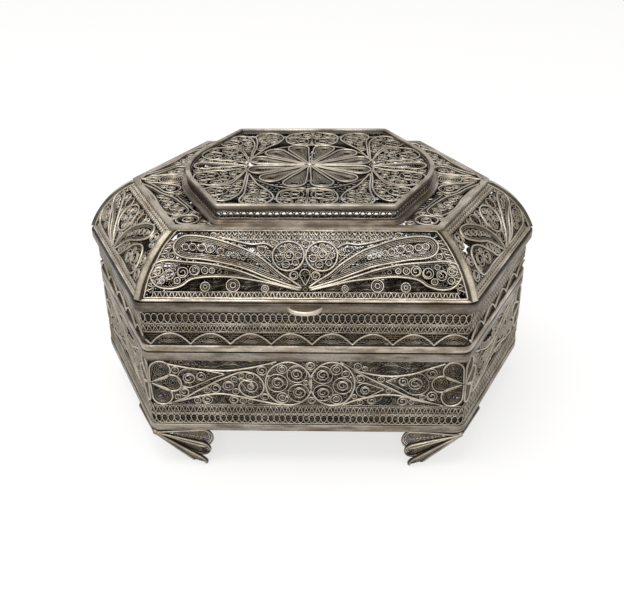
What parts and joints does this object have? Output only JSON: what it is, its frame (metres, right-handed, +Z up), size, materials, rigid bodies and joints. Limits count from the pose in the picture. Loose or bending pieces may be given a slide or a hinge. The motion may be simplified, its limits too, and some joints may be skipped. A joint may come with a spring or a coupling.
{
  "type": "jewellery box",
  "caption": "Six-sided openwork silver filigree jewellery box with a domed lid hinged at the back, a raised crown, a thumb tab and winged petal feet.",
  "frame": {"origin": "middle of the footprint, on the surface the feet stand on", "axes": "+X along the long diagonal of the plan towards the right point, +Y towards the hinge, -Y towards the thumb tab, +Z up"},
  "size_m": [0.1236, 0.096, 0.0672],
  "materials": {
    "polished_strip": "aged satin silver strip, warm grey, rubbed bright along its edges",
    "filigree_wire": "oxidised silver filigree wire, bright on the raised wires and brown-black in the recesses",
    "coiled_wire": "oxidised silver coiled and zigzag wire",
    "hinge_silver": "plain silver tube, dull with wear"
  },
  "bodies": {
    "body": {"back_left_foot": "filigree_wire", "back_left_wall": "filigree_wire", "back_right_foot": "filigree_wire", "back_right_wall": "filigree_wire", "back_wall": "filigree_wire", "body_loop_row": "coiled_wire", "body_top_rim": "polished_strip", "body_zigzag_row": "coiled_wire", "bottom_rim": "polished_strip", "floor_grille": "filigree_wire", "front_left_foot": "filigree_wire", "front_left_wall": "filigree_wire", "front_right_foot": "filigree_wire", "front_right_wall": "filigree_wire", "front_wall": "filigree_wire", "hinge_barrel_left": "hinge_silver", "hinge_barrel_right": "hinge_silver", "hinge_pin": "hinge_silver"},
    "lid": {"back_dome_panel": "filigree_wire", "back_left_dome_panel": "filigree_wire", "back_left_hip_rib": "polished_strip", "back_left_scallops": "coiled_wire", "back_right_dome_panel": "filigree_wire", "back_right_hip_rib": "polished_strip", "back_right_scallops": "coiled_wire", "back_scallops": "coiled_wire", "crown_flange": "polished_strip", "crown_lattice": "coiled_wire", "crown_panel": "filigree_wire", "crown_rim": "polished_strip", "deck_frame": "polished_strip", "deck_panel": "filigree_wire", "eave_strip": "polished_strip", "eave_wire": "polished_strip", "front_dome_panel": "filigree_wire", "front_left_dome_panel": "filigree_wire", "front_left_hip_rib": "polished_strip", "front_left_scallops": "coiled_wire", "front_right_dome_panel": "filigree_wire", "front_right_hip_rib": "polished_strip", "front_right_scallops": "coiled_wire", "front_scallops": "coiled_wire", "hinge_barrel_lid": "hinge_silver", "left_hip_rib": "polished_strip", "lid_bottom_rim": "polished_strip", "lid_loop_row": "coiled_wire", "lid_zigzag_row": "coiled_wire", "right_hip_rib": "polished_strip", "rosette": "filigree_wire", "thumb_tab": "polished_strip"}
  },
  "joints": [
    {"name": "lid_hinge", "type": "hinge", "parent": "body", "child": "lid", "pos_m": [0, 0.0463, 0.03405], "axis": [-1, 0, 0], "range_deg": [0, 105]}
  ]
}
